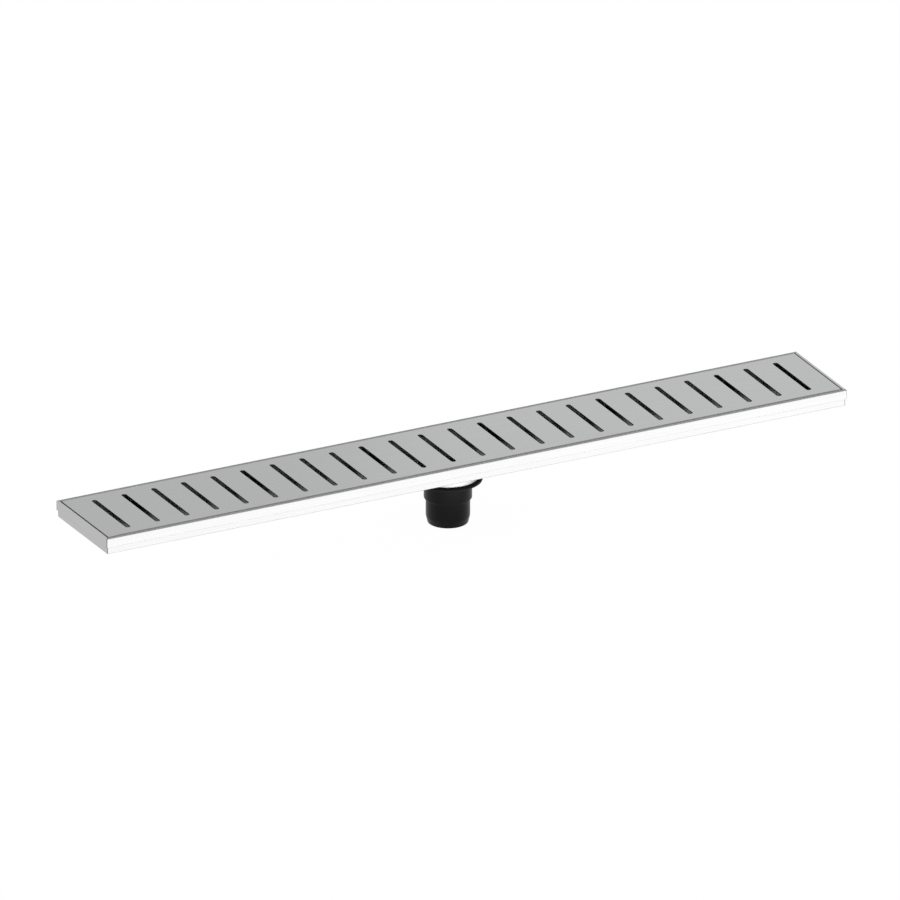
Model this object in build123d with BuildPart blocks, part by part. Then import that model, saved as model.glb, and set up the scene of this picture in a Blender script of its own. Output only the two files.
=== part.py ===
from build123d import *
import os

# Linear floor drain: a hemmed sheet-steel channel with a slotted grate and a moulded outlet below its middle.
# Sizes are in millimetres. Z points up from the lower end of the outlet spigot, X runs along the channel.

# Channel: folded sheet, with the top edge hemmed outwards and down
channel_length = 900.0
channel_width = 120.0
channel_height = 19.0
sheet = 1.5
hem_height = 11.0
rim_round = 1.3
base_round = 1.0
corner_round = 0.6

# Grate: punched pan that lies flush in the rim
grate_clearance = 1.4
grate_sheet = 1.5
grate_skirt = 8.0
grate_round = 1.0
slot_pitch = 36.0
slot_width = 6.0
slot_length = 84.0
slot_end_margin = 25.0

# Bridges under the grate, on every few strips between the slots, with a rubber boot on each leg
bridges_per_half = 3
bridge_plate = 3.0
bridge_web = 5.0
bridge_corner = 2.0
leg_width = 12.0
leg_inset = 5.5
boot_wall = 2.0
boot_floor = 2.0
boot_grip = 4.0
boot_chamfer = 1.0

# Sump: drawn cup welded into the base, a little off the middle of the channel
outlet_offset = -4.5
sump_diameter = 69.0
sump_depth = 16.5
sump_chamfer = 0.8

# Outlet: moulded body with a flange, a threaded neck and a pipe spigot
gasket_thickness = 1.0
flange_overhang = 3.25
flange_thickness = 2.2
flange_chamfer = 0.5
neck_wall = 2.8
neck_length = 21.3
neck_root = 1.5
shoulder_chamfer = 1.2
spigot_diameter = 48.3
spigot_length = 20.0
spigot_wall = 3.7
lead_length = 8.0
lead_drop = 1.9

# Clamp ring: screwed into the neck from above, with notches for a key
sleeve_wall = 2.85
thread_length = 14.0
thread_clearance = 0.2
thread_end_gap = 1.5
ring_inset = 3.5
ring_flange_thickness = 3.0
ring_chamfer = 0.8
bore_lead = 1.6
key_notches = 4
notch_width = 7.0
notch_depth = 4.0

# Hair strainer: perforated basket that drops into the ring, with a riveted knob
strainer_sheet = 0.8
strainer_rim_inset = 4.0
strainer_depth = 14.0
strainer_bend = 0.7
strainer_clearance = 0.5
strainer_slots = 8
strainer_slot_width = 3.0
wall_slot_margin = 3.5
floor_slot_margin = 2.5
knob_height = 20.0
knob_diameter = 11.0
knob_head = 4.0
knob_stem = 5.0
knob_chamfer = 1.2
rivet_diameter = 4.0
rivet_head_diameter = 6.4
rivet_head = 1.2

# Heights, from the lower end of the spigot up to the finished floor
shoulder_z = lead_length + spigot_length
flange_bottom = shoulder_z + neck_length
flange_top = flange_bottom + flange_thickness
sump_bottom = flange_top + gasket_thickness
ring_seat = sump_bottom + sheet
ring_top = ring_seat + ring_flange_thickness
base_bottom = sump_bottom + sump_depth
base_top = base_bottom + sheet
rim_top = base_bottom + channel_height
plate_bottom = rim_top - grate_sheet

# Plan sizes that follow from the channel
wall_length = channel_length - 2 * sheet
wall_width = channel_width - 2 * sheet
inner_length = wall_length - 2 * sheet
inner_width = wall_width - 2 * sheet
grate_length = inner_length - 2 * grate_clearance
grate_width = inner_width - 2 * grate_clearance
pan_width = grate_width - 2 * grate_sheet
slots_per_half = int((grate_length / 2 - slot_end_margin) / slot_pitch + 0.5)

# Diameters of the outlet, which follow from the pipe and from the sump
spigot_bore = spigot_diameter - 2 * spigot_wall
lead_diameter = spigot_diameter - 2 * lead_drop
sleeve_diameter = spigot_bore + 2 * sleeve_wall
thread_diameter = sleeve_diameter + 2 * thread_clearance
neck_diameter = thread_diameter + 2 * neck_wall
flange_diameter = sump_diameter + 2 * flange_overhang
ring_flange_diameter = sump_diameter - 2 * sheet - 2 * ring_inset
strainer_rim_diameter = ring_flange_diameter - 2 * strainer_rim_inset

# Frame of the outlet: its axis, and the half plane in which its turned sections are drawn
outlet_axis = Axis((outlet_offset, 0, 0), (0, 0, 1))
outlet_section = Plane(origin=(outlet_offset, 0, 0), x_dir=(1, 0, 0), z_dir=(0, -1, 0))

os.makedirs("parts", exist_ok=True)


def outlet_level(z):
    """Horizontal plane centred on the outlet at one height."""
    return Plane((outlet_offset, 0, z))


def ring_edges(piece, z, diameter):
    """Round edges of a turned piece at one height and diameter."""
    circles = piece.edges().filter_by(GeomType.CIRCLE)
    return circles.filter_by(lambda e: abs(e.arc_center.Z - z) < 0.01 and abs(2 * e.radius - diameter) < 0.01)


def save(builder, name):
    """Label a finished piece and write it to its own file."""
    builder.part.label = name
    export_step(builder.part, f"parts/{name}.step")


# Channel blank: walls, hem and base in one, before the end walls are parted from it
with BuildPart() as blank:
    with BuildSketch(Plane.XY.offset(base_bottom)):
        Rectangle(wall_length, wall_width)
    extrude(amount=channel_height)
    fillet(blank.edges().filter_by(Axis.X).group_by(Axis.Z)[0], base_round)
    with BuildSketch(Plane.XY.offset(rim_top)):
        Rectangle(channel_length, channel_width)
        fillet(vertices(), corner_round)
    extrude(amount=-hem_height)
    with BuildSketch(Plane.XY.offset(base_top)):
        Rectangle(inner_length, inner_width)
    extrude(amount=rim_top - base_top, mode=Mode.SUBTRACT)
    fillet(blank.edges().group_by(Axis.Z)[-1], rim_round)


def end_wall_plan(side):
    """Plan of one end wall, bounded by the channel's inner end and the mitres at its two corners."""
    beyond = channel_length
    inner_x = side * inner_length / 2
    outer_x = inner_x + side * beyond
    inner_y = inner_width / 2
    outer_y = inner_y + beyond
    with BuildSketch(Plane.XY.offset(base_bottom)) as plan:
        with BuildLine():
            Polyline(
                (inner_x, -inner_y),
                (outer_x, -outer_y),
                (outer_x, outer_y),
                (inner_x, inner_y),
                close=True,
            )
        make_face()
    return plan.sketch


with BuildPart() as channel_trough:
    add(blank.part)
    for side in (-1, 1):
        extrude(end_wall_plan(side), amount=channel_height, mode=Mode.SUBTRACT)
    with BuildSketch(outlet_level(base_bottom)):
        Circle(sump_diameter / 2)
    extrude(amount=sheet, mode=Mode.SUBTRACT)
save(channel_trough, "channel_trough")

for side, name in ((-1, "end_plate_left"), (1, "end_plate_right")):
    with BuildPart() as end_plate:
        add(blank.part)
        extrude(end_wall_plan(side), amount=channel_height, mode=Mode.INTERSECT)
    save(end_plate, name)


# Sump: drawn cup, flush with the inside of the base
with BuildPart() as outlet_sump:
    with BuildSketch(outlet_level(sump_bottom)):
        Circle(sump_diameter / 2)
    extrude(amount=base_top - sump_bottom)
    offset(amount=-sheet, openings=outlet_sump.faces().sort_by(Axis.Z)[-1])
    chamfer(ring_edges(outlet_sump, sump_bottom, sump_diameter), sump_chamfer)
    with BuildSketch(outlet_level(sump_bottom)):
        Circle(thread_diameter / 2)
    extrude(amount=sheet, mode=Mode.SUBTRACT)
save(outlet_sump, "outlet_sump")

# Gasket between the sump's floor and the outlet's flange
with BuildPart() as lower_gasket:
    with BuildSketch(outlet_level(flange_top)):
        Circle(flange_diameter / 2)
        Circle(thread_diameter / 2, mode=Mode.SUBTRACT)
    extrude(amount=gasket_thickness)
save(lower_gasket, "lower_gasket")

# Outlet body: one moulding, turned about the outlet's axis
thread_floor = flange_top - thread_length - thread_end_gap
with BuildPart() as outlet_body:
    with BuildSketch(outlet_section):
        with BuildLine():
            Polyline(
                (spigot_bore / 2, 0),
                (lead_diameter / 2, 0),
                (spigot_diameter / 2, lead_length),
                (spigot_diameter / 2, shoulder_z),
                (neck_diameter / 2 - shoulder_chamfer, shoulder_z),
                (neck_diameter / 2, shoulder_z + shoulder_chamfer),
                (neck_diameter / 2, flange_bottom),
                (flange_diameter / 2, flange_bottom),
                (flange_diameter / 2, flange_top),
                (thread_diameter / 2, flange_top),
                (thread_diameter / 2, thread_floor),
                (spigot_bore / 2, thread_floor),
                close=True,
            )
        make_face()
    revolve(axis=outlet_axis)
    chamfer(ring_edges(outlet_body, flange_bottom, neck_diameter), neck_root)
    chamfer(ring_edges(outlet_body, flange_bottom, flange_diameter), flange_chamfer)
save(outlet_body, "outlet_body")

# Clamp ring: its flange presses the sump's floor onto the gasket
with BuildPart() as clamp_ring:
    with BuildSketch(outlet_section):
        with BuildLine():
            Polyline(
                (spigot_bore / 2, flange_top - thread_length),
                (sleeve_diameter / 2, flange_top - thread_length),
                (sleeve_diameter / 2, ring_seat),
                (ring_flange_diameter / 2, ring_seat),
                (ring_flange_diameter / 2, ring_top),
                (spigot_bore / 2, ring_top),
                close=True,
            )
        make_face()
    revolve(axis=outlet_axis)
    chamfer(ring_edges(clamp_ring, ring_top, ring_flange_diameter), ring_chamfer)
    chamfer(ring_edges(clamp_ring, ring_top, spigot_bore), bore_lead)
    with BuildSketch(outlet_level(ring_seat)):
        with PolarLocations(ring_flange_diameter / 2, key_notches):
            Rectangle(2 * notch_depth, notch_width)
    extrude(amount=ring_flange_thickness, mode=Mode.SUBTRACT)
save(clamp_ring, "clamp_ring")

# Hair strainer: pressed basket with a rim, a perforated floor and slots round its wall
basket_radius = spigot_bore / 2 - strainer_clearance
basket_floor = ring_top - strainer_depth
floor_top = basket_floor + strainer_sheet
rim_face = ring_top + strainer_sheet
inner_radius = basket_radius - strainer_sheet
wall_slot_height = strainer_depth - 2 * wall_slot_margin
floor_slot_start = rivet_head_diameter / 2 + floor_slot_margin
floor_slot_end = inner_radius - strainer_bend - floor_slot_margin
with BuildPart() as hair_strainer:
    with BuildSketch(outlet_section):
        with BuildLine():
            Polyline(
                (0, basket_floor),
                (basket_radius, basket_floor),
                (basket_radius, ring_top),
                (strainer_rim_diameter / 2, ring_top),
                (strainer_rim_diameter / 2, rim_face),
                (inner_radius, rim_face),
                (inner_radius, floor_top),
                (0, floor_top),
                close=True,
            )
        make_face()
    revolve(axis=outlet_axis)
    chamfer(ring_edges(hair_strainer, basket_floor, 2 * basket_radius), strainer_bend)
    chamfer(ring_edges(hair_strainer, rim_face, 2 * inner_radius), strainer_bend)
    with BuildSketch(outlet_level(basket_floor)):
        Circle(rivet_diameter / 2)
        with PolarLocations((floor_slot_start + floor_slot_end) / 2, strainer_slots):
            Rectangle(floor_slot_end - floor_slot_start, strainer_slot_width)
    extrude(amount=strainer_sheet, mode=Mode.SUBTRACT)
    with Locations((outlet_offset, 0, (basket_floor + ring_top) / 2)):
        with PolarLocations(basket_radius, strainer_slots):
            Box(4 * strainer_sheet, strainer_slot_width, wall_slot_height, mode=Mode.SUBTRACT)
save(hair_strainer, "hair_strainer")

# Knob: a turned pull, riveted through the middle of the strainer's floor
knob_top = floor_top + knob_height
with BuildPart() as strainer_knob:
    with BuildSketch(outlet_section):
        with BuildLine():
            Polyline(
                (0, basket_floor - rivet_head),
                (rivet_head_diameter / 2, basket_floor - rivet_head),
                (rivet_head_diameter / 2, basket_floor),
                (rivet_diameter / 2, basket_floor),
                (rivet_diameter / 2, floor_top),
                (knob_stem / 2, floor_top),
                (knob_stem / 2, knob_top - knob_head),
                (knob_diameter / 2, knob_top - knob_head),
                (knob_diameter / 2, knob_top),
                (0, knob_top),
                close=True,
            )
        make_face()
    revolve(axis=outlet_axis)
    chamfer(ring_edges(strainer_knob, knob_top, knob_diameter), knob_chamfer)
    chamfer(ring_edges(strainer_knob, knob_top - knob_head, knob_diameter), knob_chamfer)
save(strainer_knob, "strainer_knob")

# Grate: a pan folded down on all four sides, with a row of rounded slots across it
with BuildPart() as grate:
    with BuildSketch(Plane.XY.offset(rim_top)):
        Rectangle(grate_length, grate_width)
    extrude(amount=-grate_skirt)
    offset(amount=-grate_sheet, openings=grate.faces().sort_by(Axis.Z)[0])
    fillet(grate.edges().group_by(Axis.Z)[-1], grate_round)
    with BuildSketch(Plane.XY.offset(rim_top)):
        with GridLocations(slot_pitch, 0, 2 * slots_per_half, 1):
            SlotOverall(slot_length, slot_width, rotation=90)
    extrude(amount=-grate_sheet, mode=Mode.SUBTRACT)
save(grate, "grate")

# Bridges: each plate is welded under a strip of the grate, and its legs stand in boots on the base
leg_middle = pan_width / 2 - leg_inset - leg_width / 2
leg_bottom = base_top + boot_floor
web_bottom = plate_bottom - bridge_web
strips_per_bridge = slots_per_half / bridges_per_half
bridge_strips = [round((number + 0.5) * strips_per_bridge) for number in range(bridges_per_half)]
bridge_places = sorted(side * strip * slot_pitch for side in (-1, 1) for strip in bridge_strips)

for number, x in enumerate(bridge_places, start=1):
    with BuildPart() as support:
        with BuildSketch(Plane.YZ.offset(x - bridge_plate / 2)) as outline:
            with Locations((0, plate_bottom - bridge_web / 2)):
                Rectangle(pan_width, bridge_web)
            chamfer(outline.vertices().group_by(Axis.Y)[-1], bridge_corner)
            with Locations((-leg_middle, web_bottom), (leg_middle, web_bottom)):
                Rectangle(leg_width, web_bottom - leg_bottom, align=(Align.CENTER, Align.MAX))
            leg_roots = outline.vertices().filter_by_position(Axis.Y, web_bottom, web_bottom)
            fillet(leg_roots.sort_by(lambda v: abs(v.X))[:2], bridge_corner)
        extrude(amount=bridge_plate)
    save(support, f"support_{number}")

boot_size = (bridge_plate + 2 * boot_wall, leg_width + 2 * boot_wall)
boot_places = [(x, side * leg_middle) for x in bridge_places for side in (-1, 1)]

for number, (x, y) in enumerate(boot_places, start=1):
    with BuildPart() as boot:
        with BuildSketch(Plane((x, y, base_top))):
            Rectangle(*boot_size)
            chamfer(vertices(), boot_chamfer)
        extrude(amount=boot_floor + boot_grip)
        with BuildSketch(Plane((x, y, leg_bottom))):
            Rectangle(bridge_plate, leg_width)
        extrude(amount=boot_grip, mode=Mode.SUBTRACT)
    save(boot, f"boot_{number}")
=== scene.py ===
import math

import bmesh
import bpy
from mathutils import Matrix, Vector


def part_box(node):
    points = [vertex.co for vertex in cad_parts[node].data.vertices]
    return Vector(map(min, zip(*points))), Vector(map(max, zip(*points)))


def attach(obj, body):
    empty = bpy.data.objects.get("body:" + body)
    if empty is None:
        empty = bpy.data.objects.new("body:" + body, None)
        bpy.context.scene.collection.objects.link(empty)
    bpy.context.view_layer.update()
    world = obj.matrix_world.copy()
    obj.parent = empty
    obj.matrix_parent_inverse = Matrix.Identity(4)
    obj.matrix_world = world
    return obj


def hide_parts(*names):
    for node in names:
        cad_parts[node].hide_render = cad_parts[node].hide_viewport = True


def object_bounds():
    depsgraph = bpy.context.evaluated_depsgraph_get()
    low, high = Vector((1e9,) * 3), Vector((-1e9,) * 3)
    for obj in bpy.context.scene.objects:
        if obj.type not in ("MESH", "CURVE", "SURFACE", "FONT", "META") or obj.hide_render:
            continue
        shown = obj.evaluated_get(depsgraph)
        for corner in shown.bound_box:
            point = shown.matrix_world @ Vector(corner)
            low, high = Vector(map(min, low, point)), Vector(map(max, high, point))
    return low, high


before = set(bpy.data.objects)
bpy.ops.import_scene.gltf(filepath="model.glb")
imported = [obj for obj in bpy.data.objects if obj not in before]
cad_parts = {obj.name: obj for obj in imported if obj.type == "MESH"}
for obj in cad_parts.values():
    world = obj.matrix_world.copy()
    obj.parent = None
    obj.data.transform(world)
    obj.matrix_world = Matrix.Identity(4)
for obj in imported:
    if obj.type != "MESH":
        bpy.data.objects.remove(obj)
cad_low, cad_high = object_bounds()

# Linear floor drain in brushed stainless sheet: folded channel, slotted grate and black moulded outlet.
# All sizes are in metres. Places come from the frame, and the sizes below are those that no box gives.

# Channel sheet
HEM_HEIGHT = 0.011
HEM_SLIT = 0.00012
RIM_ROUND = 0.0013
BASE_ROUND = 0.001
CORNER_ROUND = 0.0006
SHEET_DEBURR = 0.0003
# Width of the dark line at the mitre joints, which is partly painted shade
SEAM_SHADE_WIDTH = 0.0006

# Grate
GRATE_SHEET = 0.0015
GRATE_ROUND = 0.001
SLOT_PITCH = 0.036
SLOT_COUNT = 24
SLOT_WIDTH = 0.006
SLOT_LENGTH = 0.084
SLOT_POINTS = 30
SLOT_DEBURR = 0.00015

# Sump and its weld, whose bulge and crown are shares of its leg
SUMP_SHEET = 0.0015
SUMP_ROUND = 0.001
SUMP_INNER_ROUND = 0.0004
SUMP_TOP_BREAK = 0.0002
SUMP_HOLE_BREAK = 0.0003
WELD_LEG = 0.0016
WELD_BULGE = 0.62
WELD_CROWN = 0.6
WELD_RIPPLES = 128
WELD_RIPPLE_STEPS = 4
WELD_RIPPLE_HEIGHT = 0.00012

# Gasket
GASKET_ROUND = 0.0006
GASKET_HOLE_BREAK = 0.0003

# Outlet moulding
SPIGOT_BORE = 0.02045
SPIGOT_RADIUS = 0.02415
SPIGOT_TIP_ROUND = 0.0006
LEAD_RADIUS = 0.02225
LEAD_LENGTH = 0.008
LEAD_ROUND = 0.0012
SHOULDER_HEIGHT = 0.028
SHOULDER_ROUND = 0.0014
NECK_RADIUS = 0.0263
NECK_FILLET = 0.0016
FLANGE_THICKNESS = 0.0022
FLANGE_ROUND = 0.0006
FLANGE_TOP_BREAK = 0.0004
THREAD_RADIUS = 0.0235
THREAD_DEPTH = 0.0155
THREAD_MOUTH_ROUND = 0.0006
THREAD_FLOOR_ROUND = 0.0005

# Clamp ring
SLEEVE_RADIUS = 0.0233
SLEEVE_ROUND = 0.0006
SLEEVE_BORE_BREAK = 0.0004
RING_RADIUS = 0.0295
RING_THICKNESS = 0.003
RING_ROUND = 0.0009
RING_SEAT_FILLET = 0.0003
RING_SEAT_BREAK = 0.0004
BORE_LEAD = 0.0016
NOTCH_COUNT = 4
NOTCH_WIDTH = 0.007
NOTCH_DEPTH = 0.004
NOTCH_ROUND = NOTCH_WIDTH / 6

# Hair strainer and its pull
STRAINER_SHEET = 0.0008
STRAINER_BREAK = 0.0003
BASKET_RADIUS = 0.01995
BASKET_ROUND = 0.0016
STRAINER_SLOTS = 8
STRAINER_SLOT_WIDTH = 0.003
STRAINER_SLOT_STEPS = 5
WALL_SLOT_HEIGHT = 0.007
FLOOR_SLOT_START = 0.0057
FLOOR_SLOT_END = 0.0159
PULL_STEM_RADIUS = 0.0025
PULL_STEM_FILLET = 0.0012
PULL_HEAD_HEIGHT = 0.004
PULL_HEAD_ROUND = 0.0014
RIVET_RADIUS = 0.002
RIVET_HEAD_RADIUS = 0.0032
RIVET_HEAD_HEIGHT = 0.0012
RIVET_HEAD_ROUND = 0.0008

# Bridges and boots under the grate
BRIDGE_COUNT = 6
BRIDGE_WEB = 0.005
BRIDGE_CORNER = 0.002
BRIDGE_END_ROUND = 0.0004
BRIDGE_LEG_ROUND = 0.0006
BRIDGE_DEBURR = 0.0003
BOOT_WALL = 0.002
BOOT_FLOOR = 0.002
BOOT_CHAMFER = 0.001
BOOT_ROUND = 0.0005

# Fineness of round shapes, limits for sharp, smooth and aligned edges, and how near counts as touching
TURN_STEPS = 128
BEND_STEPS = 6
CORNER_STEPS = 4
DEBURR_STEPS = 2
SHARP_ANGLE = math.radians(60)
SMOOTH_ANGLE = math.radians(38)
ALIGNED = 0.9
TOUCH = 0.00001

# Thicknesses that a cutter is long, to pass right through what it cuts
CUT_THROUGH = 6

# Axes along which the steel is brushed
X, Y, Z = range(3)

# Tones of the steel, and the dark and light tone of each black finish
CHANNEL_TONE = (0.50, 0.50, 0.50)
SUMP_TONE = (0.56, 0.56, 0.56)
GRATE_TONE = (0.402, 0.409, 0.406)
BRIDGE_TONE = (0.45, 0.45, 0.45)
STRAINER_TONE = (0.60, 0.60, 0.60)
# Dark line at the corner mitre joints: partly the joint's own colour, partly painted shade in the groove
# between the sheets
SEAM_SHADE_TONE = (0.13, 0.13, 0.13)
PLASTIC_TONES = ((0.0050, 0.0053, 0.0058), (0.0075, 0.0078, 0.0084))
RUBBER_TONES = ((0.0065, 0.0065, 0.0067), (0.0100, 0.0100, 0.0104))

# Brushed steel: waves in a metre, across the brush lines and along them, and how far tone and gloss vary
GRAIN_WAVES = (1700.0, 22.0)
STREAK_WAVES = (420.0, 7.0)
CLOUD_WAVES = (9.0, 16.0, 16.0)
TONE_SPREAD = 0.045
ROUGHNESS_SPREAD = 0.05

# Plastic and rubber: waves in a metre along each axis
FLOW_WAVES = (60.0, 60.0, 14.0)
PLASTIC_GRAIN_WAVES = (2600.0, 2600.0, 2600.0)
DUST_WAVES = (220.0, 220.0, 220.0)
RUBBER_GRAIN_WAVES = (1900.0, 1900.0, 1900.0)

# Part of a noise pattern's range that is spread over a finish
PATTERN_LOW = 0.25
PATTERN_HIGH = 0.75

# Soft light from all round, the floor under it and the lamps
STUDIO_FILL = 0.55
FLOOR_SIZE = 12
FLOOR_WHITENESS = 0.96
PAPER_TONE = 0.8
FRONT_LAMP_PLACE = Vector((0.12, -0.43, 0.004))
BACK_LAMP_PLACE = Vector((0.95, 0.98, 0.56))

# Grey flag high on the right of the studio, which draws the rounded folds as dark lines
FLAG_DIRECTION = (0.62, 0.0, 0.785)
FLAG_CORE = math.radians(31)
FLAG_EDGE = math.radians(39)
FLAG_TONE = 0.28

# View of the photograph: a parallel view, with the middle of the rim at this pixel
VIEW_AZIMUTH = math.radians(-27.19)
VIEW_ELEVATION = math.radians(23.11)
VIEW_WIDTH = 0.97353
VIEW_DISTANCE = 3.0
PHOTO_SIDE = 900
RIM_MIDDLE_PIXEL = (451.11, 444.53)

# Places that follow from the frame
trough_low, trough_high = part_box("channel_trough")
end_low, end_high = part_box("end_plate_left")
grate_low, grate_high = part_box("grate")
sump_low, sump_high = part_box("outlet_sump")
gasket_low, gasket_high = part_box("lower_gasket")
body_low, body_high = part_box("outlet_body")
ring_low, ring_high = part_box("clamp_ring")
strainer_low, strainer_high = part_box("hair_strainer")
knob_low, knob_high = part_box("strainer_knob")
bridge_low, bridge_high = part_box("support_1")
boot_low, boot_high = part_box("boot_1")
rim_top = trough_high.z
base_bottom = trough_low.z
outer_side = trough_high.y
outer_end = -end_low.x
hem_thickness = end_high.x - end_low.x
inner_side = outer_side - hem_thickness
inner_end = outer_end - hem_thickness
sheet = (hem_thickness - HEM_SLIT) / 2
fold = sheet + HEM_SLIT
outlet_x = (sump_low.x + sump_high.x) / 2
sump_radius = (sump_high.x - sump_low.x) / 2
gasket_radius = (gasket_high.x - gasket_low.x) / 2
flange_radius = (body_high.x - body_low.x) / 2
strainer_radius = (strainer_high.x - strainer_low.x) / 2
pull_radius = (knob_high.x - knob_low.x) / 2


def near(a, b):
    """True where two lengths are the same but for rounding."""
    return abs(a - b) < TOUCH


def middle(edge):
    """Middle point of an edge."""
    return (edge.verts[0].co + edge.verts[1].co) / 2


def runs_along(edge, line):
    """True where an edge runs along a line."""
    return abs((edge.verts[0].co - edge.verts[1].co).normalized().dot(line)) > ALIGNED


def only(piece):
    """Make one piece the only one selected, in object mode."""
    if bpy.context.mode != "OBJECT":
        bpy.ops.object.mode_set(mode="OBJECT")
    bpy.ops.object.select_all(action="DESELECT")
    piece.select_set(True)
    bpy.context.view_layer.objects.active = piece


def edit(piece):
    """Open one piece for editing."""
    only(piece)
    bpy.ops.object.mode_set(mode="EDIT")


def begin(name, add_primitive, stretch=(1, 1, 1), **sizes):
    """Add a primitive at its size and place, with that place in its mesh, and open it for editing."""
    if bpy.context.mode != "OBJECT":
        bpy.ops.object.mode_set(mode="OBJECT")
    bpy.ops.object.select_all(action="DESELECT")
    add_primitive(**sizes)
    piece = bpy.context.object
    piece.name = name
    piece.data.name = name
    piece.scale = stretch
    bpy.ops.object.transform_apply(location=True, rotation=True, scale=True)
    bpy.ops.object.mode_set(mode="EDIT")
    return piece


def open_mesh():
    """Mesh of the piece that is open for editing."""
    return bmesh.from_edit_mesh(bpy.context.object.data)


def pick(kind, test):
    """Select the vertices, edges or faces of the open piece that pass a test."""
    bpy.ops.mesh.select_mode(type=kind)
    bpy.ops.mesh.select_all(action="DESELECT")
    mesh = open_mesh()
    items = {"VERT": mesh.verts, "EDGE": mesh.edges, "FACE": mesh.faces}[kind]
    for item in items:
        if test(item):
            item.select_set(True)
    mesh.select_flush_mode()
    bmesh.update_edit_mesh(bpy.context.object.data)


def shape(place):
    """Move each vertex of the open piece to the place that a rule gives for it."""
    for number, vertex in enumerate(open_mesh().verts):
        vertex.co = place(number, vertex.co.copy())
    bmesh.update_edit_mesh(bpy.context.object.data)


def pull(move):
    """Extrude what is selected by one move."""
    bpy.ops.mesh.extrude_region_move(TRANSFORM_OT_translate={"value": move})


def round_off(width, segments, affect="EDGES"):
    """Round the selected edges or corners."""
    bpy.ops.mesh.bevel(offset_type="OFFSET", offset=width, segments=segments, affect=affect,
                       clamp_overlap=False)


def weld_points():
    """Merge the points of the open piece that lie on each other."""
    bpy.ops.mesh.select_all(action="SELECT")
    bpy.ops.mesh.remove_doubles(threshold=TOUCH / 4)


def face_outwards():
    """Turn all faces of the open piece outwards."""
    bpy.ops.mesh.select_all(action="SELECT")
    bpy.ops.mesh.normals_make_consistent(inside=False)


def deburr(width, skip=None):
    """Take the sharpness off every outer edge of the open piece, apart from those that skip names."""

    def is_sharp(edge):
        if not edge.is_manifold or edge.calc_face_angle_signed() < SHARP_ANGLE:
            return False
        return skip is None or not skip(edge)

    pick("EDGE", is_sharp)
    round_off(width, DEBURR_STEPS)


def modify(piece, kind, **values):
    """Add a modifier to a piece and apply it."""
    only(piece)
    modifier = piece.modifiers.new(kind.title(), kind)
    for name, value in values.items():
        setattr(modifier, name, value)
    bpy.ops.object.modifier_apply(modifier=modifier.name)


def cut_out(piece, cutter):
    """Cut one shape out of a piece and delete the cutter."""
    modify(piece, "BOOLEAN", object=cutter, operation="DIFFERENCE", solver="EXACT")
    bpy.data.objects.remove(cutter)


def copy_of(piece, name, move):
    """Copy of a piece with a mesh of its own, moved in its mesh."""
    twin = piece.copy()
    twin.data = piece.data.copy()
    twin.name = name
    twin.data.name = name
    twin.data.transform(Matrix.Translation(move))
    bpy.context.scene.collection.objects.link(twin)
    return twin


def complete(piece, finish, *nodes):
    """Clean and smooth a finished piece, give it its material, and let it stand for its nodes."""
    material, slot = finish
    edit(piece)
    weld_points()
    only(piece)
    bpy.ops.object.shade_smooth_by_angle(angle=SMOOTH_ANGLE)
    modify(piece, "WEIGHTED_NORMAL", keep_sharp=True)
    piece.data.materials.clear()
    piece.data.materials.append(material)
    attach(piece, "root")
    if nodes:
        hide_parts(*nodes)


# Sheet pieces of the channel


def round_folds(inner, outer, across):
    """Round the folds at the rim and at the base; across gives an edge's distance from the middle."""
    wall = inner + sheet

    def on_rim(edge):
        return near(middle(edge).z, rim_top) and any(near(across(edge), face) for face in (inner, outer))

    pick("EDGE", on_rim)
    round_off(RIM_ROUND, BEND_STEPS)
    pick("EDGE", lambda e: near(middle(e).z, base_bottom) and near(across(e), wall))
    round_off(BASE_ROUND, BEND_STEPS)


def round_corners():
    """Round the upright edges at the hem's mitred corners."""

    def on_corner(edge):
        place = middle(edge)
        return near(abs(place.x), outer_end) and near(abs(place.y), outer_side)

    pick("EDGE", on_corner)
    round_off(CORNER_ROUND, CORNER_STEPS)


def in_hem_slit(depth):
    """True inside the closed hem, where nothing is deburred; depth is measured from its inner face."""
    return sheet - 2 * TOUCH < depth < sheet + HEM_SLIT + 2 * TOUCH


def trough_sheet():
    """Trough: base, two walls and their hems, folded from one sheet and mitred at its ends."""
    wall = inner_side + sheet / 2
    base = base_bottom + sheet / 2
    rim = rim_top - sheet / 2
    piece = begin("trough_sheet", bpy.ops.mesh.primitive_plane_add, stretch=(inner_end, wall, 1),
                  size=2, location=(0, 0, base))
    pick("EDGE", lambda e: near(abs(middle(e).y), wall))
    pull((0, 0, rim - base))
    for side in (-1, 1):
        pick("EDGE", lambda e: near(middle(e).y, side * wall) and near(middle(e).z, rim))
        pull((0, side * fold, 0))
        pull((0, 0, sheet / 2 - HEM_HEIGHT))
    face_outwards()
    modify(piece, "SOLIDIFY", thickness=sheet, offset=0, use_even_offset=True)
    hole = begin("sump_hole", bpy.ops.mesh.primitive_cylinder_add, vertices=TURN_STEPS,
                 radius=sump_radius + TOUCH, depth=CUT_THROUGH * sheet, location=(outlet_x, 0, base))
    cut_out(piece, hole)
    edit(piece)

    def mitre(number, place):
        if near(abs(place.x), inner_end):
            place.x += math.copysign(max(0, abs(place.y) - inner_side), place.x)
        return place

    shape(mitre)
    round_folds(inner_side, outer_side, lambda e: abs(middle(e).y))
    round_corners()
    deburr(SHEET_DEBURR, skip=lambda e: in_hem_slit(abs(middle(e).y) - inner_side))
    face_outwards()
    return piece


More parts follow.
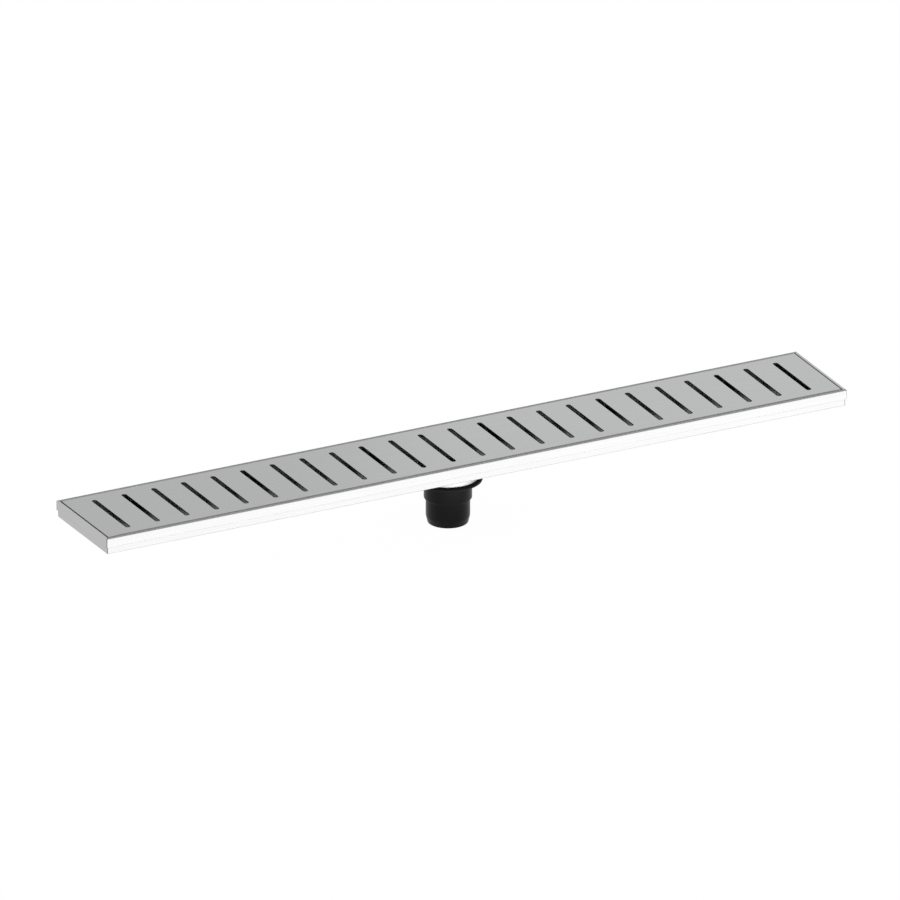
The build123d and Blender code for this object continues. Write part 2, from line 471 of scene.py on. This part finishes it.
def end_sheet(side, name):
    """End wall with its own hem, mitred to the trough's walls at both sides."""
    wall = inner_end + sheet / 2
    rim = rim_top - sheet / 2
    height = rim - base_bottom
    piece = begin(name, bpy.ops.mesh.primitive_plane_add, stretch=(height / 2, inner_side, 1), size=2,
                  location=(side * wall, 0, base_bottom + height / 2), rotation=(0, math.pi / 2, 0))
    pick("EDGE", lambda e: near(middle(e).z, rim))
    pull((side * fold, 0, 0))
    pull((0, 0, sheet / 2 - HEM_HEIGHT))
    face_outwards()
    modify(piece, "SOLIDIFY", thickness=sheet, offset=0, use_even_offset=True)
    edit(piece)

    def mitre(number, place):
        if near(abs(place.y), inner_side):
            place.y += math.copysign(abs(place.x) - inner_end, place.y)
        return place

    shape(mitre)
    round_folds(inner_end, outer_end, lambda e: abs(middle(e).x))
    round_corners()
    deburr(SHEET_DEBURR, skip=lambda e: in_hem_slit(abs(middle(e).x) - inner_end))
    face_outwards()
    return piece


# Grate


def grate_pan():
    """Grate: a row of cells with one round-ended slot each, folded down at the border and deburred."""
    plate = rim_top - GRATE_SHEET / 2
    side = grate_high.y - GRATE_SHEET / 2
    end = grate_high.x - GRATE_SHEET / 2
    half_row = SLOT_PITCH * SLOT_COUNT / 2
    first = SLOT_PITCH / 2 - half_row
    straight = (SLOT_LENGTH - SLOT_WIDTH) / 2
    piece = begin("grate_pan", bpy.ops.mesh.primitive_circle_add, vertices=SLOT_POINTS,
                  radius=SLOT_WIDTH / 2, fill_type="NOTHING", location=(first, 0, plate))
    shape(lambda number, place: place + Vector((0, math.copysign(straight, place.y), 0)))
    bpy.ops.mesh.select_all(action="SELECT")
    pull((0, 0, 0))
    for edge_side in (-1, 1):
        outer = [v for v in open_mesh().verts if v.select and v.co.y * edge_side > 0]
        outer.sort(key=lambda v: v.co.x)
        for number, vertex in enumerate(outer):
            vertex.co.x = first + SLOT_PITCH * (number / (len(outer) - 1) - 0.5)
            vertex.co.y = edge_side * side
    bmesh.update_edit_mesh(piece.data)
    modify(piece, "ARRAY", count=SLOT_COUNT, use_relative_offset=False, use_constant_offset=True,
           constant_offset_displace=(SLOT_PITCH, 0, 0), use_merge_vertices=True, merge_threshold=TOUCH)
    edit(piece)
    for row_end in (-1, 1):
        pick("EDGE", lambda e: near(middle(e).x, row_end * half_row) and e.is_boundary)
        pull((row_end * (end - half_row), 0, 0))

    def on_border(edge):
        return near(abs(middle(edge).y), side) or near(abs(middle(edge).x), end)

    pick("EDGE", lambda e: e.is_boundary and on_border(e))
    pull((0, 0, grate_low.z - plate))
    face_outwards()
    modify(piece, "SOLIDIFY", thickness=GRATE_SHEET, offset=0, use_even_offset=True)
    edit(piece)

    def on_top_fold(edge):
        place = middle(edge)
        on_side = near(abs(place.y), grate_high.y) or near(abs(place.x), grate_high.x)
        return on_side and near(place.z, rim_top)

    pick("EDGE", on_top_fold)
    round_off(GRATE_ROUND, BEND_STEPS)
    deburr(SLOT_DEBURR)
    face_outwards()
    return piece


# Turned pieces on the outlet's axis


def turned(name, outline, steps=TURN_STEPS):
    """Turn a closed outline about the outlet's axis; a point is a radius, a height and a corner radius."""
    piece = begin(name, bpy.ops.mesh.primitive_circle_add, vertices=len(outline), fill_type="NGON")
    shape(lambda number, place: Vector((outlet_x + outline[number][0], 0, outline[number][1])))
    for radius, height, corner in outline:
        if corner:
            pick("VERT", lambda v: near(v.co.x, outlet_x + radius) and near(v.co.z, height))
            round_off(corner, BEND_STEPS, affect="VERTICES")
    bpy.ops.mesh.select_all(action="SELECT")
    bpy.ops.mesh.delete(type="ONLY_FACE")
    pick("EDGE", lambda e: near(middle(e).x, outlet_x))
    bpy.ops.mesh.delete(type="EDGE")
    bpy.ops.mesh.select_all(action="SELECT")
    bpy.ops.mesh.spin(steps=steps, angle=2 * math.pi, center=(outlet_x, 0, 0), axis=(0, 0, 1))
    weld_points()
    face_outwards()
    return piece


def sump_cup():
    """Sump: drawn cup with a hole in its floor for the clamp ring."""
    inner = sump_radius - SUMP_SHEET
    floor = sump_low.z + SUMP_SHEET
    return turned("sump_cup", [
        (THREAD_RADIUS, sump_low.z, SUMP_HOLE_BREAK),
        (sump_radius, sump_low.z, SUMP_ROUND),
        (sump_radius, sump_high.z, SUMP_TOP_BREAK),
        (inner, sump_high.z, SUMP_INNER_ROUND),
        (inner, floor, SUMP_INNER_ROUND),
        (THREAD_RADIUS, floor, SUMP_HOLE_BREAK),
    ])


def sump_weld():
    """Fillet weld round the sump, under the base, with the ripples of its beads."""
    bulge = WELD_BULGE * WELD_LEG
    piece = turned("sump_weld", [
        (sump_radius - TOUCH, base_bottom + TOUCH, 0),
        (sump_radius - TOUCH, base_bottom - WELD_LEG, 0),
        (sump_radius + bulge, base_bottom - bulge, WELD_CROWN * WELD_LEG),
        (sump_radius + WELD_LEG, base_bottom + TOUCH, 0),
    ], steps=WELD_RIPPLES * WELD_RIPPLE_STEPS)

    def ripple(number, place):
        from_axis = Vector((place.x - outlet_x, place.y, 0))
        wave = math.cos(math.atan2(from_axis.y, from_axis.x) * WELD_RIPPLES)
        if from_axis.length < sump_radius + TOUCH or place.z > base_bottom - TOUCH:
            return place
        return place + from_axis.normalized() * wave * WELD_RIPPLE_HEIGHT

    shape(ripple)
    face_outwards()
    return piece


def gasket_ring():
    """Flat gasket between the sump's floor and the outlet's flange."""
    return turned("gasket_ring", [
        (THREAD_RADIUS, gasket_low.z, GASKET_HOLE_BREAK),
        (gasket_radius, gasket_low.z, GASKET_ROUND),
        (gasket_radius, gasket_high.z, GASKET_ROUND),
        (THREAD_RADIUS, gasket_high.z, GASKET_HOLE_BREAK),
    ])


def outlet_moulding():
    """Outlet: flange, neck and pipe spigot with a tapered lead, in one moulding."""
    flange_bottom = body_high.z - FLANGE_THICKNESS
    thread_floor = body_high.z - THREAD_DEPTH
    return turned("outlet_moulding", [
        (SPIGOT_BORE, body_low.z, SPIGOT_TIP_ROUND),
        (LEAD_RADIUS, body_low.z, SPIGOT_TIP_ROUND),
        (SPIGOT_RADIUS, LEAD_LENGTH, LEAD_ROUND),
        (SPIGOT_RADIUS, SHOULDER_HEIGHT, 0),
        (NECK_RADIUS, SHOULDER_HEIGHT, SHOULDER_ROUND),
        (NECK_RADIUS, flange_bottom, NECK_FILLET),
        (flange_radius, flange_bottom, FLANGE_ROUND),
        (flange_radius, body_high.z, FLANGE_TOP_BREAK),
        (THREAD_RADIUS, body_high.z, THREAD_MOUTH_ROUND),
        (THREAD_RADIUS, thread_floor, THREAD_FLOOR_ROUND),
        (SPIGOT_BORE, thread_floor, THREAD_FLOOR_ROUND),
    ])


def clamp_ring_moulding():
    """Clamp ring: flanged sleeve with notches for a key."""
    seat = ring_high.z - RING_THICKNESS
    piece = turned("clamp_ring_moulding", [
        (SPIGOT_BORE, ring_low.z, SLEEVE_BORE_BREAK),
        (SLEEVE_RADIUS, ring_low.z, SLEEVE_ROUND),
        (SLEEVE_RADIUS, seat, RING_SEAT_FILLET),
        (RING_RADIUS, seat, RING_SEAT_BREAK),
        (RING_RADIUS, ring_high.z, RING_ROUND),
        (SPIGOT_BORE, ring_high.z, BORE_LEAD),
    ])
    for number in range(NOTCH_COUNT):
        angle = 2 * math.pi * number / NOTCH_COUNT
        place = (outlet_x + RING_RADIUS * math.cos(angle), RING_RADIUS * math.sin(angle), seat)
        size = (2 * NOTCH_DEPTH, NOTCH_WIDTH, CUT_THROUGH * RING_THICKNESS)
        notch = begin("notch", bpy.ops.mesh.primitive_cube_add, stretch=size, size=1, location=place,
                      rotation=(0, 0, angle))
        pick("EDGE", lambda e: runs_along(e, Vector((0, 0, 1))))
        round_off(NOTCH_ROUND, CORNER_STEPS)
        cut_out(piece, notch)
    return piece


def strainer_slot(angle, place, size, upright):
    """Cutter for one slot with round ends, turned to an angle about the outlet's axis."""
    cutter = begin("slot", bpy.ops.mesh.primitive_cube_add, stretch=size, size=1, location=place,
                   rotation=(0, 0, angle))
    out = Vector((math.cos(angle), math.sin(angle), 0))
    line = out if upright else Vector((0, 0, 1))
    pick("EDGE", lambda e: runs_along(e, line))
    round_off(STRAINER_SLOT_WIDTH / 2 - 2 * TOUCH, STRAINER_SLOT_STEPS)
    return cutter


def strainer_basket():
    """Hair strainer: pressed basket with a rim, a slotted wall and a slotted floor."""
    floor = strainer_low.z
    inner = BASKET_RADIUS - STRAINER_SHEET
    rim = strainer_high.z - STRAINER_SHEET
    piece = turned("strainer_basket", [
        (RIVET_RADIUS, floor, 0),
        (BASKET_RADIUS, floor, BASKET_ROUND),
        (BASKET_RADIUS, rim, STRAINER_BREAK),
        (strainer_radius, rim, STRAINER_BREAK),
        (strainer_radius, strainer_high.z, STRAINER_BREAK),
        (inner, strainer_high.z, STRAINER_BREAK + STRAINER_SHEET),
        (inner, floor + STRAINER_SHEET, BASKET_ROUND - STRAINER_SHEET),
        (RIVET_RADIUS, floor + STRAINER_SHEET, 0),
    ])
    wall_middle = (floor + rim) / 2
    for number in range(STRAINER_SLOTS):
        angle = 2 * math.pi * number / STRAINER_SLOTS
        out = Vector((math.cos(angle), math.sin(angle), 0))
        centre = Vector((outlet_x, 0, 0))
        wall_place = centre + out * BASKET_RADIUS + Vector((0, 0, wall_middle))
        wall_size = (CUT_THROUGH * STRAINER_SHEET, STRAINER_SLOT_WIDTH, WALL_SLOT_HEIGHT)
        cut_out(piece, strainer_slot(angle, wall_place, wall_size, upright=True))
        floor_place = centre + out * (FLOOR_SLOT_START + FLOOR_SLOT_END) / 2 + Vector((0, 0, floor))
        floor_length = FLOOR_SLOT_END - FLOOR_SLOT_START
        floor_size = (floor_length, STRAINER_SLOT_WIDTH, CUT_THROUGH * STRAINER_SHEET)
        cut_out(piece, strainer_slot(angle, floor_place, floor_size, upright=False))
    return piece


def strainer_pull():
    """Turned pull, riveted through the strainer's floor."""
    floor = strainer_low.z
    head = knob_high.z - PULL_HEAD_HEIGHT
    return turned("strainer_pull", [
        (0, floor - RIVET_HEAD_HEIGHT, 0),
        (RIVET_HEAD_RADIUS, floor - RIVET_HEAD_HEIGHT, RIVET_HEAD_ROUND),
        (RIVET_HEAD_RADIUS, floor, 0),
        (RIVET_RADIUS, floor, 0),
        (RIVET_RADIUS, floor + STRAINER_SHEET, 0),
        (PULL_STEM_RADIUS, floor + STRAINER_SHEET, 0),
        (PULL_STEM_RADIUS, head, PULL_STEM_FILLET),
        (pull_radius, head, PULL_STEM_FILLET),
        (pull_radius, knob_high.z, PULL_HEAD_ROUND),
        (0, knob_high.z, 0),
    ], steps=TURN_STEPS // 2)


# Bridges and boots


def bridge_plate():
    """Bridge: cut plate with a web under the grate and a leg near each end."""
    web_bottom = bridge_high.z - BRIDGE_WEB
    leg_outer = -boot_low.y - BOOT_WALL
    leg_inner = -boot_high.y + BOOT_WALL
    half = [
        (bridge_high.y, bridge_high.z, BRIDGE_CORNER),
        (bridge_high.y, web_bottom, BRIDGE_END_ROUND),
        (leg_outer, web_bottom, BRIDGE_LEG_ROUND),
        (leg_outer, bridge_low.z, BRIDGE_LEG_ROUND),
        (leg_inner, bridge_low.z, BRIDGE_LEG_ROUND),
        (leg_inner, web_bottom, BRIDGE_CORNER),
    ]
    outline = half + [(-y, z, corner) for y, z, corner in reversed(half)]
    piece = begin("bridge_1", bpy.ops.mesh.primitive_circle_add, vertices=len(outline), fill_type="NGON")
    shape(lambda number, place: Vector((bridge_low.x, outline[number][0], outline[number][1])))
    for y, z, corner in outline:
        pick("VERT", lambda v: near(v.co.y, y) and near(v.co.z, z))
        round_off(corner, CORNER_STEPS, affect="VERTICES")
    bpy.ops.mesh.select_all(action="SELECT")
    pull((bridge_high.x - bridge_low.x, 0, 0))
    face_outwards()
    deburr(BRIDGE_DEBURR)
    return piece


def boot_sleeve():
    """Boot: moulded rubber foot with a pocket for the bridge's leg."""
    size = boot_high - boot_low
    place = (boot_low + boot_high) / 2
    piece = begin("boot_sleeve_1", bpy.ops.mesh.primitive_cube_add, size=1, location=place, stretch=size)
    pick("EDGE", lambda e: near(middle(e).z, place.z))
    round_off(BOOT_CHAMFER, CORNER_STEPS)
    pick("FACE", lambda f: f.normal.z > ALIGNED)
    bpy.ops.mesh.inset(thickness=BOOT_WALL)
    pull((0, 0, boot_low.z + BOOT_FLOOR - boot_high.z))
    deburr(BOOT_ROUND)
    face_outwards()
    return piece


# Materials


def add_node(tree, kind, inputs=None, **settings):
    """Add a shader node with its settings and its input values."""
    node = tree.nodes.new(kind)
    for name, value in settings.items():
        setattr(node, name, value)
    for name, value in (inputs or {}).items():
        node.inputs[name].default_value = value
    return node


def new_material(name):
    """Material with a principled shader, and the object coordinates that its pattern reads."""
    material = bpy.data.materials.new(name)
    material.use_nodes = True
    tree = material.node_tree
    tree.nodes.clear()
    shader = add_node(tree, "ShaderNodeBsdfPrincipled")
    output = add_node(tree, "ShaderNodeOutputMaterial")
    tree.links.new(shader.outputs["BSDF"], output.inputs["Surface"])
    coords = add_node(tree, "ShaderNodeTexCoord")
    return material, tree, shader, coords


def pattern(tree, coords, scale, detail, roughness=0.5):
    """Noise on object coordinates, with its own scale along each axis."""
    mapping = add_node(tree, "ShaderNodeMapping", {"Scale": scale})
    noise = add_node(tree, "ShaderNodeTexNoise", {"Scale": 1.0, "Detail": detail, "Roughness": roughness})
    tree.links.new(coords.outputs["Object"], mapping.inputs["Vector"])
    tree.links.new(mapping.outputs["Vector"], noise.inputs["Vector"])
    return noise.outputs["Fac"]


def spread(tree, value, low, high):
    """Bring the middle of a pattern's range to new limits."""
    limits = {"From Min": PATTERN_LOW, "From Max": PATTERN_HIGH, "To Min": low, "To Max": high}
    node = add_node(tree, "ShaderNodeMapRange", limits)
    tree.links.new(value, node.inputs["Value"])
    return node.outputs["Result"]


def blend_colours(tree, factor, dark, light):
    """Colour between two tones by a pattern."""
    ramp = add_node(tree, "ShaderNodeValToRGB")
    ramp.color_ramp.elements[0].position = PATTERN_LOW
    ramp.color_ramp.elements[0].color = (*dark, 1)
    ramp.color_ramp.elements[1].position = PATTERN_HIGH
    ramp.color_ramp.elements[1].color = (*light, 1)
    tree.links.new(factor, ramp.inputs["Fac"])
    return ramp.outputs["Color"]


def average(tree, first, second):
    """Mean of two patterns."""
    node = add_node(tree, "ShaderNodeMath", operation="ADD")
    half = add_node(tree, "ShaderNodeMath", {1: 0.5}, operation="MULTIPLY")
    tree.links.new(first, node.inputs[0])
    tree.links.new(second, node.inputs[1])
    tree.links.new(node.outputs["Value"], half.inputs[0])
    return half.outputs["Value"]


def raise_grain(tree, shader, height, distance, strength):
    """Let a pattern stand out of the surface by a small height."""
    bump = add_node(tree, "ShaderNodeBump", {"Strength": strength, "Distance": distance})
    tree.links.new(height, bump.inputs["Height"])
    tree.links.new(bump.outputs["Normal"], shader.inputs["Normal"])


def brush_waves(waves, along):
    """Scale of a pattern on each axis, for brush lines along one of them."""
    across_lines, along_lines = waves
    return [along_lines if axis == along else across_lines for axis in range(3)]


def mitre_seam_shade(tree, coords, tone):
    """Tone with a dark hairline where the mitred sheets meet at the channel's corners. The line is partly
    the joint's own dark line and partly painted shade for the groove between the sheets.
    """
    axes = add_node(tree, "ShaderNodeSeparateXYZ")
    along = add_node(tree, "ShaderNodeMath", operation="ABSOLUTE")
    across = add_node(tree, "ShaderNodeMath", operation="ABSOLUTE")
    offset = add_node(tree, "ShaderNodeMath", operation="SUBTRACT")
    corner = {1: outer_end - outer_side, 2: SEAM_SHADE_WIDTH}
    on_seam_shade = add_node(tree, "ShaderNodeMath", corner, operation="COMPARE")
    off_base = add_node(tree, "ShaderNodeMath", {1: inner_side - TOUCH}, operation="GREATER_THAN")
    seen_seam_shade = add_node(tree, "ShaderNodeMath", operation="MULTIPLY")
    mix = add_node(tree, "ShaderNodeMix", data_type="RGBA")
    # Inputs 6 and 7 and output 2 of a mix node are those for colours
    factor, plain, seam_shade = mix.inputs[0], mix.inputs[6], mix.inputs[7]
    seam_shade.default_value = (*SEAM_SHADE_TONE, 1)
    tree.links.new(coords.outputs["Object"], axes.inputs["Vector"])
    tree.links.new(axes.outputs["X"], along.inputs[0])
    tree.links.new(axes.outputs["Y"], across.inputs[0])
    tree.links.new(along.outputs["Value"], offset.inputs[0])
    tree.links.new(across.outputs["Value"], offset.inputs[1])
    tree.links.new(offset.outputs["Value"], on_seam_shade.inputs[0])
    tree.links.new(across.outputs["Value"], off_base.inputs[0])
    tree.links.new(on_seam_shade.outputs["Value"], seen_seam_shade.inputs[0])
    tree.links.new(off_base.outputs["Value"], seen_seam_shade.inputs[1])
    tree.links.new(seen_seam_shade.outputs["Value"], factor)
    tree.links.new(tone, plain)
    return mix.outputs[2]


def brushed_steel(name, tone, along, roughness, seam_shaded=False):
    """Stainless sheet with fine brush lines along one axis and soft clouds from rolling."""
    material, tree, shader, coords = new_material(name)
    grain = pattern(tree, coords, brush_waves(GRAIN_WAVES, along), detail=4.0, roughness=0.6)
    streaks = pattern(tree, coords, brush_waves(STREAK_WAVES, along), detail=3.0)
    clouds = pattern(tree, coords, CLOUD_WAVES, detail=2.0)
    tones = average(tree, streaks, clouds)
    dark = [(1 - TONE_SPREAD) * value for value in tone]
    light = [(1 + TONE_SPREAD) * value for value in tone]
    colour = blend_colours(tree, tones, dark, light)
    # The mitre joints get a dark line that is partly painted shade in the groove between the sheets
    if seam_shaded:
        colour = mitre_seam_shade(tree, coords, colour)
    tree.links.new(colour, shader.inputs["Base Color"])
    finish = average(tree, grain, clouds)
    gloss = spread(tree, finish, roughness - ROUGHNESS_SPREAD, roughness + ROUGHNESS_SPREAD)
    tree.links.new(gloss, shader.inputs["Roughness"])
    raise_grain(tree, shader, grain, distance=0.00001, strength=0.25)
    shader.inputs["Metallic"].default_value = 1.0
    return material


def moulded_plastic(name, dark, light):
    """Black moulded plastic with a fine spark-eroded grain and faint flow marks."""
    material, tree, shader, coords = new_material(name)
    flow = pattern(tree, coords, FLOW_WAVES, detail=3.0)
    grain = pattern(tree, coords, PLASTIC_GRAIN_WAVES, detail=3.0)
    tree.links.new(blend_colours(tree, flow, dark, light), shader.inputs["Base Color"])
    gloss = spread(tree, average(tree, flow, grain), low=0.26, high=0.36)
    tree.links.new(gloss, shader.inputs["Roughness"])
    raise_grain(tree, shader, grain, distance=0.00002, strength=0.3)
    shader.inputs["Specular IOR Level"].default_value = 0.12
    return material


def matte_rubber(name, dark, light):
    """Black rubber with a dry, slightly dusty face."""
    material, tree, shader, coords = new_material(name)
    dust = pattern(tree, coords, DUST_WAVES, detail=4.0)
    grain = pattern(tree, coords, RUBBER_GRAIN_WAVES, detail=3.0)
    tree.links.new(blend_colours(tree, dust, dark, light), shader.inputs["Base Color"])
    gloss = spread(tree, dust, low=0.68, high=0.85)
    tree.links.new(gloss, shader.inputs["Roughness"])
    raise_grain(tree, shader, grain, distance=0.00004, strength=0.4)
    shader.inputs["Specular IOR Level"].default_value = 0.10
    return material


# Finishes: a material, and the slot of the record that it belongs to
channel_steel = (brushed_steel("channel_steel", CHANNEL_TONE, X, 0.40, seam_shaded=True), "channel_steel")
end_steel = (brushed_steel("end_steel", CHANNEL_TONE, Y, 0.40, seam_shaded=True), "channel_steel")
sump_steel = (brushed_steel("sump_steel", SUMP_TONE, Z, 0.36), "channel_steel")
grate_steel = (brushed_steel("grate_steel", GRATE_TONE, X, 0.28), "grate_steel")
bridge_steel = (brushed_steel("bridge_steel", BRIDGE_TONE, Y, 0.45), "grate_steel")
strainer_steel = (brushed_steel("strainer_steel", STRAINER_TONE, Z, 0.28), "strainer_steel")
black_abs = (moulded_plastic("black_abs", *PLASTIC_TONES), "black_abs")
black_rubber = (matte_rubber("black_rubber", *RUBBER_TONES), "black_rubber")

# The pieces, each in place of its node; the weld has none
complete(trough_sheet(), channel_steel, "channel_trough")
complete(end_sheet(-1, "end_sheet_left"), end_steel, "end_plate_left")
complete(end_sheet(1, "end_sheet_right"), end_steel, "end_plate_right")
complete(grate_pan(), grate_steel, "grate")
complete(sump_cup(), sump_steel, "outlet_sump")
complete(sump_weld(), channel_steel)
complete(gasket_ring(), black_rubber, "lower_gasket")
complete(outlet_moulding(), black_abs, "outlet_body")
complete(clamp_ring_moulding(), black_abs, "clamp_ring")
complete(strainer_basket(), strainer_steel, "hair_strainer")
complete(strainer_pull(), strainer_steel, "strainer_knob")

first_bridge = bridge_plate()
only(first_bridge)
for number in range(2, BRIDGE_COUNT + 1):
    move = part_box(f"support_{number}")[0] - bridge_low
    complete(copy_of(first_bridge, f"bridge_{number}", move), bridge_steel, f"support_{number}")
complete(first_bridge, bridge_steel, "support_1")

first_boot = boot_sleeve()
only(first_boot)
for number in range(2, 2 * BRIDGE_COUNT + 1):
    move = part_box(f"boot_{number}")[0] - boot_low
    complete(copy_of(first_boot, f"boot_sleeve_{number}", move), black_rubber, f"boot_{number}")
complete(first_boot, black_rubber, "boot_1")


# Stage: white floor and world, softboxes and the camera


def seen_in(tree, *kinds):
    """1 for the rays of the named kinds, and 0 for others."""
    path = add_node(tree, "ShaderNodeLightPath")
    seen = path.outputs[f"Is {kinds[0]} Ray"]
    for kind in kinds[1:]:
        either = add_node(tree, "ShaderNodeMath", operation="MAXIMUM")
        tree.links.new(seen, either.inputs[0])
        tree.links.new(path.outputs[f"Is {kind} Ray"], either.inputs[1])
        seen = either.outputs["Value"]
    return seen


def white_world():
    """World that is white behind the object and in its reflections, with a grey flag and a soft fill."""
    world = bpy.data.worlds.new("white_studio")
    world.use_nodes = True
    bpy.context.scene.world = world
    tree = world.node_tree
    tree.nodes.clear()
    coords = add_node(tree, "ShaderNodeTexCoord")
    towards_flag = add_node(tree, "ShaderNodeVectorMath", {1: FLAG_DIRECTION}, operation="DOT_PRODUCT")
    edge, core = math.cos(FLAG_EDGE), math.cos(FLAG_CORE)
    limits = {"From Min": edge, "From Max": core, "To Min": 1.0, "To Max": FLAG_TONE}
    dimming = add_node(tree, "ShaderNodeMapRange", limits)
    light = add_node(tree, "ShaderNodeBackground", {"Strength": STUDIO_FILL})
    mirrored = add_node(tree, "ShaderNodeBackground")
    shown = add_node(tree, "ShaderNodeBackground", {"Strength": 1.0})
    in_metal = add_node(tree, "ShaderNodeMixShader")
    mix = add_node(tree, "ShaderNodeMixShader")
    output = add_node(tree, "ShaderNodeOutputWorld")
    for background in (light, mirrored, shown):
        background.inputs["Color"].default_value = (1, 1, 1, 1)
    tree.links.new(coords.outputs["Generated"], towards_flag.inputs[0])
    tree.links.new(towards_flag.outputs["Value"], dimming.inputs["Value"])
    tree.links.new(dimming.outputs["Result"], mirrored.inputs["Strength"])
    tree.links.new(seen_in(tree, "Glossy", "Transmission"), in_metal.inputs["Fac"])
    tree.links.new(light.outputs["Background"], in_metal.inputs[1])
    tree.links.new(mirrored.outputs["Background"], in_metal.inputs[2])
    tree.links.new(seen_in(tree, "Camera"), mix.inputs["Fac"])
    tree.links.new(in_metal.outputs["Shader"], mix.inputs[1])
    tree.links.new(shown.outputs["Background"], mix.inputs[2])
    tree.links.new(mix.outputs["Shader"], output.inputs["Surface"])


def white_floor():
    """Floor that shows white with a soft shadow, and is open when seen from below."""
    glow = (1 - (1 - FLOOR_WHITENESS) * PAPER_TONE * STUDIO_FILL) / FLOOR_WHITENESS
    floor = begin("floor", bpy.ops.mesh.primitive_plane_add, size=FLOOR_SIZE, location=(0, 0, cad_low.z))
    only(floor)
    material = bpy.data.materials.new("white_floor")
    material.use_nodes = True
    tree = material.node_tree
    tree.nodes.clear()
    paper = add_node(tree, "ShaderNodeBsdfDiffuse", {"Color": (PAPER_TONE, PAPER_TONE, PAPER_TONE, 1)})
    white = add_node(tree, "ShaderNodeEmission", {"Color": (1, 1, 1, 1), "Strength": glow})
    open_below = add_node(tree, "ShaderNodeBsdfTransparent")
    share = add_node(tree, "ShaderNodeMath", {1: FLOOR_WHITENESS}, operation="MULTIPLY")
    shown = add_node(tree, "ShaderNodeMixShader")
    sided = add_node(tree, "ShaderNodeMixShader")
    facing = add_node(tree, "ShaderNodeNewGeometry")
    output = add_node(tree, "ShaderNodeOutputMaterial")
    tree.links.new(seen_in(tree, "Camera", "Glossy", "Transmission"), share.inputs[0])
    tree.links.new(share.outputs["Value"], shown.inputs["Fac"])
    tree.links.new(paper.outputs["BSDF"], shown.inputs[1])
    tree.links.new(white.outputs["Emission"], shown.inputs[2])
    tree.links.new(facing.outputs["Backfacing"], sided.inputs["Fac"])
    tree.links.new(shown.outputs["Shader"], sided.inputs[1])
    tree.links.new(open_below.outputs["BSDF"], sided.inputs[2])
    tree.links.new(sided.outputs["Shader"], output.inputs["Surface"])
    floor.data.materials.append(material)


def softbox(name, place, aim, width, height, power):
    """Large soft lamp at a place, turned to a point, with its size in metres and its power in watts."""
    lamp = bpy.data.lights.new(name, "AREA")
    lamp.shape = "RECTANGLE"
    lamp.size = width
    lamp.size_y = height
    lamp.energy = power
    holder = bpy.data.objects.new(name, lamp)
    holder.location = place
    holder.rotation_euler = (place - aim).to_track_quat("Z", "Y").to_euler()
    holder.visible_camera = False
    bpy.context.scene.collection.objects.link(holder)


def parallel_camera():
    """Camera of the photograph's view, framed so that the rim's middle falls on its pixel."""
    camera = bpy.data.cameras.new("photo_view")
    camera.type = "ORTHO"
    camera.ortho_scale = VIEW_WIDTH
    holder = bpy.data.objects.new("photo_view", camera)
    bpy.context.scene.collection.objects.link(holder)
    level = math.cos(VIEW_ELEVATION)
    back = Vector((math.sin(VIEW_AZIMUTH) * level, -math.cos(VIEW_AZIMUTH) * level,
                   math.sin(VIEW_ELEVATION)))
    right = Vector((math.cos(VIEW_AZIMUTH), math.sin(VIEW_AZIMUTH), 0))
    up = back.cross(right)
    pixel = VIEW_WIDTH / PHOTO_SIDE
    centre_pixel = (PHOTO_SIDE - 1) / 2
    aim = rim_middle - right * (RIM_MIDDLE_PIXEL[0] - centre_pixel) * pixel
    aim -= up * (centre_pixel - RIM_MIDDLE_PIXEL[1]) * pixel
    turn = Matrix((right, up, back)).transposed().to_4x4()
    holder.matrix_world = Matrix.Translation(aim + back * VIEW_DISTANCE) @ turn
    bpy.context.scene.camera = holder


above_front_lamp = FRONT_LAMP_PLACE + Vector((0, 0, 1))
rim_middle = Vector((0, 0, rim_top))
white_world()
white_floor()
softbox("front_softbox", FRONT_LAMP_PLACE, above_front_lamp, width=1.75, height=0.65, power=4.5)
softbox("back_softbox", BACK_LAMP_PLACE, rim_middle, width=1.0, height=0.6, power=0.3)
parallel_camera()
bpy.context.scene.view_settings.view_transform = "Standard"
